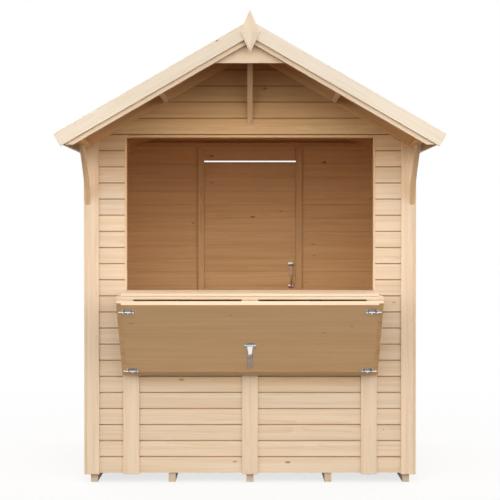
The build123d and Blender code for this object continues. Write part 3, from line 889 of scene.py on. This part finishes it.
# ---- Roof boards -------------------------------------
# Tongue-and-groove spruce boards laid from front to back over the purlins, bevelled side down,
# and mitred where the two slopes meet at the ridge.
ROOF_THICK = 0.016
ROOF_UNDERSIDE_SHADE = 1.3
for side, node in ((-1, "roof_boards_left"), (1, "roof_boards_right")):
    low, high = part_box(node)
    up = Vector((-side * cos(PITCH), 0, sin(PITCH)))
    face = Vector((side * sin(PITCH), 0, cos(PITCH)))
    shape = solids(node)[0]
    under = facing(shape, -face)
    slope = Wall(-face * under[0].dot(-face), (0, -side, 0), up, -face)
    edge = [slope.flat(point) for point in under]
    eaves = min(c for _, c in edge)
    made = boards(slope, edge, eaves, COURSE, ROOF_THICK, top_lean=tan(PITCH))
    # Painted shade on the underside of the roof boards, a little deeper than indoors, and deep
    # painted shade and dust in the joints.
    roof_boards_shade = face_shade_and_dust(face, inside=ROOF_UNDERSIDE_SHADE)
    boarding(node + "_laid", made, node, along=BACK, shade_and_dust_rule=roof_boards_shade)


# ---- Fascias, bargeboards and gable plate ------------
# Planed spruce boards nailed on to close the eaves and the ends of the roof boards, and the
# plate under the front ridge.
pale_timber = spruce("pale_timber", (0.875, 0.77, 0.635), (0.68, 0.53, 0.37), 0.22, 0.3, 0.7, 0.06)
# The gable plate takes the lighter copy of the spruce, as painted light.
for node, wood in (
    ("eaves_fascias", pale_timber),
    ("bargeboards_front", pale_timber),
    ("bargeboards_back", pale_timber),
    ("gable_plate", painted_light_timber),
):
    timbers(node, "_planed", wood, PLANED_ARRIS)


# ---- Finial ------------------------------------------
# A kite of planed spruce fixed over the mitre of the front bargeboards, with a narrow flat down
# the middle and a facet worked back to each edge.
finial_timber = spruce(
    "finial_timber", (0.85, 0.71, 0.55), (0.68, 0.50, 0.34), 0.22, 0.3, 0.4, 0.06
)
FLAT_HALF = 0.013
FACET_DEPTH = 0.009
FLAT_END = 0.02
low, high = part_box("finial")
kite_points = solids("finial")[0][0]
wide = max(kite_points, key=lambda point: point.x).z
kite = [(0, low.z), (high.x, wide), (0, high.z), (low.x, wide)]
flat = [(0, low.z + FLAT_END), (FLAT_HALF, wide), (0, high.z - FLAT_END), (-FLAT_HALF, wide)]
levels = ((high.y, kite), (low.y + FACET_DEPTH, kite), (low.y, flat))
points = [Vector((x, y, z)) for y, ring in levels for x, z in ring]
joinery(
    "finial_kite", [(points, ring_faces(len(levels), len(kite)))],
    finial_timber, "stall", ["finial"], THIN_ARRIS, UP,
)


# ---- Brackets under the roof -------------------------
# Curved brackets of planed spruce that carry the front of the roof. One is fixed outside each
# front corner trim, and one up the middle of the gable.
EAVES_SHADE = 0.6


def eaves_shade(normal, point):
    """Some painted shade all over, for wood under the eaves."""
    return EAVES_SHADE


for node in ("side_brackets", "ridge_bracket"):
    timbers(node, "_timber", planed_timber, FINE_ARRIS, eaves_shade)


# ---- Ironmongery -------------------------------------
# Zinc-plated steel hinges, a pull, four barrel bolts and a hasp, all screwed on. The door's
# straps are plainer, the bolts' and hasp's plates are darkened as a painted dark reflection, and
# the fold hinges are near black as painted shade, so they sink into the shadow of the slot.
PRESSED_ARRIS = 0.0004
PLATE_ARRIS = 0.0005
BOLT_ARRIS = 0.0003
SMOOTH_BELOW = radians(35)


def steel(name, clean, clouded, rough):
    """Plated sheet steel, a little clouded and scuffed."""
    material = bpy.data.materials.new(name)
    tree = blank_tree(material)
    place = put(tree, "TexCoord").outputs["Object"]
    cloud = ramp(tree, noise(tree, stretched(tree, place, 45, 45, 45), 2.0).outputs[0], 0.4, 0.65)
    scuff = noise(tree, stretched(tree, place, 900, 900, 120), 2.0).outputs[0]
    bump = put(tree, "Bump", {"Height": scuff, "Strength": 0.12, "Distance": 0.0001})
    shader = put(tree, "BsdfPrincipled", {
        "Base Color": mixed(tree, cloud, (*clean, 1), (*clouded, 1)),
        "Roughness": maths(tree, "MULTIPLY_ADD", scuff, 0.12, rough),
        "Metallic": 1.0,
        "Normal": bump.outputs[0],
    })
    put(tree, "OutputMaterial", {"Surface": shader.outputs[0]})
    return material


bright_zinc = steel("bright_zinc", (0.90, 0.91, 0.92), (0.80, 0.81, 0.83), 0.14)
# Darkened plates: a painted dark reflection.
dark_reflection_zinc = steel("dark_reflection_zinc", (0.36, 0.33, 0.30), (0.24, 0.22, 0.20), 0.22)
plain_zinc = steel("plain_zinc", (0.62, 0.63, 0.65), (0.46, 0.47, 0.49), 0.24)
# Near-black fold hinges: painted shade, so they sink into the slot's shadow.
slot_shade_steel = steel("slot_shade_steel", (0.09, 0.06, 0.04), (0.07, 0.045, 0.03), 0.4)


def metalwork(name, shapes, body, nodes=(), arris=PRESSED_ARRIS, finish=bright_zinc):
    """Pressed steel with rolled edges, smooth on its round parts."""
    piece = joinery(name, shapes, finish, body, nodes, arris)
    piece.data.shade_smooth()
    piece.data.set_sharp_from_angle(angle=SMOOTH_BELOW)
    return piece


metalwork("door_straps", solids("door_hinges"), "door", ["door_hinges"], finish=plain_zinc)
metalwork(
    "door_plates", solids("door_hinge_plates"), "stall", ["door_hinge_plates"], finish=plain_zinc
)
FOLD_HINGES_BEFORE = -0.8
leaves = {True: [], False: []}
for shape in solids("shutter_hinges"):
    leaves[min(point.y for point in shape[0]) < FOLD_HINGES_BEFORE].append(shape)
metalwork("sill_hinge_leaves", leaves[False], "stall", ["shutter_hinges"])
metalwork("fold_hinge_leaves", leaves[True], "stall", (), finish=slot_shade_steel)


def circle(centre, first, second, radius, sides):
    """Points round a centre, in the plane of two unit vectors."""
    turns = [2 * pi * i / sides for i in range(sides)]
    return [centre + (first * cos(turn) + second * sin(turn)) * radius for turn in turns]


def turned(centre, axis, radii, sides=20):
    """A round solid from (distance along the axis, radius) pairs."""
    axis = axis.normalized()
    first = axis.orthogonal().normalized()
    second = axis.cross(first)
    points = []
    for step, radius in radii:
        points += circle(centre + axis * step, first, second, radius, sides)
    return points, ring_faces(len(radii), sides)


def bar(centre, x, y, z):
    """A rectangular bar from its half-length vectors."""
    corners = oblong((-1, 1), (-1, 1))
    points = [centre + x * a + y * b + z * c for c in (-1, 1) for a, b in corners]
    return points, ring_faces(2, 4)


def bent_rod(path, side, radius, sides=16):
    """A round rod along a path that bends in one plane. side is square to that plane."""
    points = []
    for index, place in enumerate(path):
        way = (path[min(index + 1, len(path) - 1)] - path[max(index - 1, 0)]).normalized()
        points += circle(place, side, side.cross(way), radius, sides)
    return points, ring_faces(len(path), sides)


SCREW_HEAD = 0.0034
SCREW_DOME = (
    (-0.0006, SCREW_HEAD), (0.0002, SCREW_HEAD), (0.0009, SCREW_HEAD * 0.7), (0.0011, 0.0012)
)


def screw(at, axis):
    """A domed screw head, flattened in the middle."""
    return turned(at, axis, SCREW_DOME, 14)


PLATE = 0.0025
PULL_RADIUS = 0.0065
PULL_BEND = 0.016
PULL_FOOT = 0.022
PULL_INSET = 0.001
PULL_SCREWS = (-0.0135, 0.0135)
BEND_STEPS = 6
low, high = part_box("door_handle")
middle_x = (low.x + high.x) / 2
grip_y = low.y + PULL_RADIUS + 0.0002
arm_z = (low.z + PULL_FOOT / 2 + PULL_INSET, high.z - PULL_FOOT / 2 - PULL_INSET)
path = [Vector((middle_x, high.y - PULL_INSET, arm_z[0]))]
for end, sign in zip(arm_z, (1, -1)):
    bend = Vector((middle_x, grip_y + PULL_BEND, end + sign * PULL_BEND))
    turns = [step * pi / (2 * BEND_STEPS) for step in range(BEND_STEPS + 1)]
    path += [
        bend + Vector((0, -sin(turn), -sign * cos(turn))) * PULL_BEND for turn in turns[::sign]
    ]
path.append(Vector((middle_x, high.y - PULL_INSET, arm_z[1])))
pull = [bent_rod(path, RIGHT, PULL_RADIUS)]
for z in (low.z + PULL_FOOT / 2, high.z - PULL_FOOT / 2):
    foot = Vector((middle_x, high.y - PLATE / 2, z))
    pull.append(bar(
        foot, Vector(((high.x - low.x) / 2, 0, 0)),
        Vector((0, PLATE / 2, 0)), Vector((0, 0, PULL_FOOT / 2)),
    ))
    for x_off in PULL_SCREWS:
        pull.append(screw(foot + Vector((x_off, -PLATE / 2, 0)), FRONT))
metalwork("door_pull", pull, "door", ["door_handle"], PLATE_ARRIS)

BOLT_RADIUS = 0.004
BOLT_PLATE = (0.065, 0.030)
BOLT_LENGTH = 0.080
BOLT_PAST = 0.015
BOLTS_AT = (0.046, 0.481)
BOLT_ROD = (
    (0, 0.0025), (0.0015, BOLT_RADIUS), (BOLT_LENGTH - 0.001, BOLT_RADIUS), (BOLT_LENGTH, 0.0032)
)
GUIDES = (-0.02, 0.02)
GUIDE_HALF = (0.0045, 0.0058, BOLT_RADIUS * 0.98)
BOLT_SCREWS_X, BOLT_SCREWS_DOWN = (-0.0275, 0.0275), (-0.0105, 0.0105)
KNOB_DOWN = 0.0105
KNOB = ((-0.008, 0.0022), (-0.001, 0.0024), (0, 0.0036), (0.003, 0.0036), (0.004, 0.002))
prop_face = COVER + OUTER_THICK + INNER_THICK
bolt_plates, bolt_rods = [], []
for side in (-1, 1):
    for along in BOLTS_AT:
        plate_x = side * (half_inner - BOLT_PLATE[0] / 2 - PLATE)
        rod_at = prop_face + PLATE + BOLT_RADIUS
        bolt_plates.append(bar(
            on_prop(plate_x, along, prop_face + PLATE / 2),
            RIGHT * BOLT_PLATE[0] / 2, down * BOLT_PLATE[1] / 2, out * PLATE / 2,
        ))
        rod_end = on_prop(side * (half_inner + BOLT_PAST), along, rod_at)
        bolt_rods.append(turned(rod_end, RIGHT * -side, BOLT_ROD))
        for x_off in GUIDES:
            bolt_plates.append(bar(
                on_prop(plate_x + x_off, along, rod_at),
                RIGHT * GUIDE_HALF[0], down * GUIDE_HALF[1], out * GUIDE_HALF[2],
            ))
        for x_off in BOLT_SCREWS_X:
            for d_off in BOLT_SCREWS_DOWN:
                place = on_prop(plate_x + x_off, along + d_off, prop_face + PLATE)
                bolt_rods.append(screw(place, out))
        bolt_rods.append(turned(on_prop(plate_x, along + KNOB_DOWN, rod_at), down, KNOB, 16))
metalwork("shutter_bolt_plates", bolt_plates, "stall", ["shutter_bolts"], BOLT_ARRIS, dark_reflection_zinc)
metalwork("shutter_bolt_rods", bolt_rods, "stall", (), BOLT_ARRIS)

HASP_AT = 0.292
STRAP_RISE = 0.0016
STRAP_TAPER = 0.12
HASP_PIN_FROM = -0.031
HASP_PIN = ((0, 0.002), (0.0006, 0.0026), (0.0614, 0.0026), (0.062, 0.002))
metalwork(
    "hasp_plate", solids("shutter_hasp"), "stall", ["shutter_hasp"], PLATE_ARRIS, dark_reflection_zinc
)
strap_top = prop_face + PLATE
corners = [(-0.0165, 0.006), (0.0165, 0.006), (0.0095, 0.066), (-0.0095, 0.066)]
points = [
    on_prop(x * (1 - STRAP_TAPER * level), HASP_AT + along, strap_top + level * STRAP_RISE)
    for level in (0, 1) for x, along in corners
]
pin = turned(on_prop(HASP_PIN_FROM, HASP_AT, strap_top), RIGHT, HASP_PIN)
metalwork("hasp_strap_face", [(points, ring_faces(2, 4)), pin], "stall", (), PLATE_ARRIS)


def spans(points):
    """A timber's or strap's lowest and highest X, Y and Z."""
    return [(min(axis), max(axis)) for axis in zip(*points)]


STRAP_SCREWS = (
    (0.035, 0.008), (0.06, -0.006), (0.12, 0.006), (0.18, -0.005), (0.235, 0.003), (0.28, -0.001)
)
PLATE_SCREWS = ((-0.012, -0.01), (-0.032, -0.01), (-0.012, 0.01), (-0.032, 0.01))
screw_shapes = {"door": [], "stall": []}
for points, _ in solids("door_hinges"):
    (start, _), (back, _), (bottom, top) = spans(points)
    face_y, middle = back + PLATE, (top + bottom) / 2
    for body, offsets in (("door", STRAP_SCREWS), ("stall", PLATE_SCREWS)):
        for x_off, z_off in offsets:
            place = Vector((start + x_off, face_y, middle + z_off))
            screw_shapes[body].append(screw(place, BACK))
for body, shapes in screw_shapes.items():
    metalwork("hinge_screws_" + body, shapes, body, (), 0)


# ---- Nails -------------------------------------------
# Flat zinc-plated heads, driven flush through the corner trims, the wall battens, the front
# bargeboards, the door casing, and the door's stiles and ledges.
NAIL_HEAD = 0.0023
HEAD_SHAPE = ((-0.001, NAIL_HEAD), (0.0002, NAIL_HEAD), (0.0004, NAIL_HEAD * 0.7))
NAIL_STEP = 2 * COURSE
nail_shapes = {"stall": [], "door": []}


def nail(body, x, y, z, way):
    """A nail in one of the bodies, with its head turned one way."""
    nail_shapes[body].append(turned(Vector((x, y, z)), way, HEAD_SHAPE, 10))


def rows(start, stop):
    """Even places along a timber, about two courses apart."""
    count = max(1, round((stop - start) / NAIL_STEP))
    return [start + (stop - start) * index / count for index in range(count + 1)]


TRIM_ENDS = (0.05, 0.12)
SIDE_NAILS_UP = 0.03
BATTEN_END = 0.04
BATTEN_NAILED_TO = 0.5
BATTEN_PAIR = (-0.024, 0.024)
BARGE_PAIR = (-0.022, 0.022)
BARGE_SHARES = (0.12, 0.34, 0.56, 0.78, 0.94)
CASING_END = 0.06
LEDGE_END = 0.04
for node, way in (("corner_trims_front", -1), ("corner_trims_back", 1)):
    low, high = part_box(node)
    face_y = low.y if way < 0 else high.y
    side_y = (low.y + high.y) / 2
    face_x = high.x - TRIM_THICK - TRIM_FACE / 2
    for z in rows(low.z + TRIM_ENDS[0], high.z - TRIM_ENDS[1]):
        for side in (-1, 1):
            nail("stall", side * face_x, face_y, z, Vector((0, way, 0)))
            nail("stall", side * high.x, side_y, z + SIDE_NAILS_UP, Vector((side, 0, 0)))
low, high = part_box("wall_battens")
batten_y = high.y - TRIM_THICK
for x in (low.x + BATTEN / 2, 0, high.x - BATTEN / 2):
    for z in rows(low.z + BATTEN_END, BATTEN_NAILED_TO):
        for x_off in BATTEN_PAIR:
            nail("stall", x + x_off, batten_y, z, FRONT)
barge_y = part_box("bargeboards_front")[0].y
NEAR_END = 0.08
for points, _ in solids("bargeboards_front"):
    ends = []
    for reach in (min(abs(point.x) for point in points), max(abs(point.x) for point in points)):
        corner = [point for point in points if abs(abs(point.x) - reach) < NEAR_END]
        ends.append(sum(corner, Vector()) / len(corner))
    for share in BARGE_SHARES:
        place = ends[0].lerp(ends[1], share)
        for rise in BARGE_PAIR:
            nail("stall", place.x, barge_y, place.z + rise, FRONT)
low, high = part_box("door_casing")
for points, _ in solids("door_casing"):
    left, right = spans(points)[0]
    for z in rows(low.z + CASING_END, high.z - CASING_END):
        nail("stall", (right + left) / 2, high.y, z, BACK)
for node in ("door_stiles", "door_ledges"):
    for points, _ in solids(node):
        x_span, (_, face_y), z_span = spans(points)
        upright = node == "door_stiles"
        (a0, a1), (b0, b1) = (z_span, x_span) if upright else (x_span, z_span)
        for a in rows(a0 + LEDGE_END, a1 - LEDGE_END):
            for b in ((b0 * 3 + b1) / 4, (b0 + b1 * 3) / 4):
                x, z = (b, a) if upright else (a, b)
                nail("door", x, face_y, z, BACK)
for body, shapes in nail_shapes.items():
    metalwork("nails_" + body, shapes, body, (), 0)


# ---- Ground, light and camera ------------------------
# A plain floor, white to look at, that throws back little light. The sky dome is brightest from
# 17 to 30 degrees above the horizon. One soft lamp hangs over the counter and one in the cabin.
SURROUND_WHITE = (1, 1, 1, 1)
FLOOR_DARK, FLOOR_PALE = (0.06, 0.06, 0.06, 1), (0.9, 0.9, 0.9, 1)
FLOOR_GLOW = 0.75


def looked_at(tree):
    """1 where the floor or sky is seen, straight or in steel, and 0 where it only lights."""
    path = put(tree, "LightPath").outputs
    reflected = maths(tree, "MAXIMUM", path["Is Glossy Ray"], path["Is Transmission Ray"])
    return maths(tree, "MAXIMUM", path["Is Camera Ray"], reflected)


floor_material = bpy.data.materials.new("studio_floor")
tree = blank_tree(floor_material)
seen = looked_at(tree)
matt = put(tree, "BsdfDiffuse", {"Color": mixed(tree, seen, FLOOR_DARK, FLOOR_PALE)})
bright = put(tree, "Emission", {"Color": SURROUND_WHITE, "Strength": 1.0})
surface = put(tree, "MixShader", {
    0: maths(tree, "MULTIPLY", seen, FLOOR_GLOW), 1: matt.outputs[0], 2: bright.outputs[0],
})
put(tree, "OutputMaterial", {"Surface": surface.outputs[0]})
FLOOR_HALF = 40
floor_mesh = bpy.data.meshes.new("studio_floor")
reach = (-FLOOR_HALF, FLOOR_HALF)
floor_mesh.from_pydata([(x, y, 0) for x, y in oblong(reach, reach)], [], [(0, 1, 2, 3)])
floor_mesh.materials.append(floor_material)
studio_floor = placed("studio_floor", floor_mesh)
studio_floor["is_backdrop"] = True

SKY_BRIGHT = 2.42
SKY_HIGH = 0.25
SKY_FALLS = radians(30), radians(52)
HORIZON_SHARE = 0.85
HORIZON_RISES = radians(2), radians(17)
world = bpy.data.worlds.new("studio")
bpy.context.scene.world = world
tree = blank_tree(world)
seen = looked_at(tree)
towards = put(tree, "TexCoord").outputs["Generated"]
height = put(tree, "SeparateXYZ", {0: towards}).outputs[2]
dome = maths(
    tree, "MULTIPLY",
    ramp(tree, height, sin(SKY_FALLS[0]), sin(SKY_FALLS[1]), SKY_BRIGHT, SKY_HIGH),
    ramp(tree, height, sin(HORIZON_RISES[0]), sin(HORIZON_RISES[1]), HORIZON_SHARE, 1.0),
)
strength = put(tree, "Mix", {0: seen, 2: dome, 3: 1.0}, data_type="FLOAT").outputs[0]
sky = put(tree, "Background", {"Color": SURROUND_WHITE, "Strength": strength})
put(tree, "OutputWorld", {"Surface": sky.outputs[0]})


def soft_lamp(name, place, aim, width, depth, spread, power):
    """A soft lamp that the camera and the steel don't see."""
    lamp = bpy.data.lights.new(name, "AREA")
    lamp.shape = "RECTANGLE"
    lamp.size, lamp.size_y = width, depth
    lamp.spread = spread
    lamp.energy = power
    lit = placed(name, lamp)
    lit.location = place
    lit.rotation_euler = (Vector(aim) - Vector(place)).to_track_quat("-Z", "Y").to_euler()
    lit.visible_camera = False
    lit.visible_glossy = False


soft_lamp(
    "counter_lamp", place=(0, -1.8, 2.2), aim=(0, -0.7, 1.06),
    width=1.7, depth=0.3, spread=radians(74), power=2.5,
)
soft_lamp(
    "cabin_lamp", place=(0, -0.4, 1.2), aim=(0, 0.9, 1.1),
    width=1.2, depth=0.2, spread=radians(170), power=1.15,
)

CAMERA_PLACE = (0, -7.695, 1.395)
CAMERA_DIP = radians(0.88)
CAMERA_SENSOR = 36
CAMERA_LENS = 93.96
camera = bpy.data.cameras.new("view")
camera.sensor_width = CAMERA_SENSOR
camera.lens = CAMERA_LENS
holder = placed("view", camera)
holder.location = CAMERA_PLACE
holder.rotation_euler = (radians(90) - CAMERA_DIP, 0, 0)
bpy.context.scene.camera = holder
bpy.context.scene.view_settings.view_transform = "Standard"


# ---- Sizes -------------------------------------------
# The finished model's box, in metres.
low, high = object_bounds()
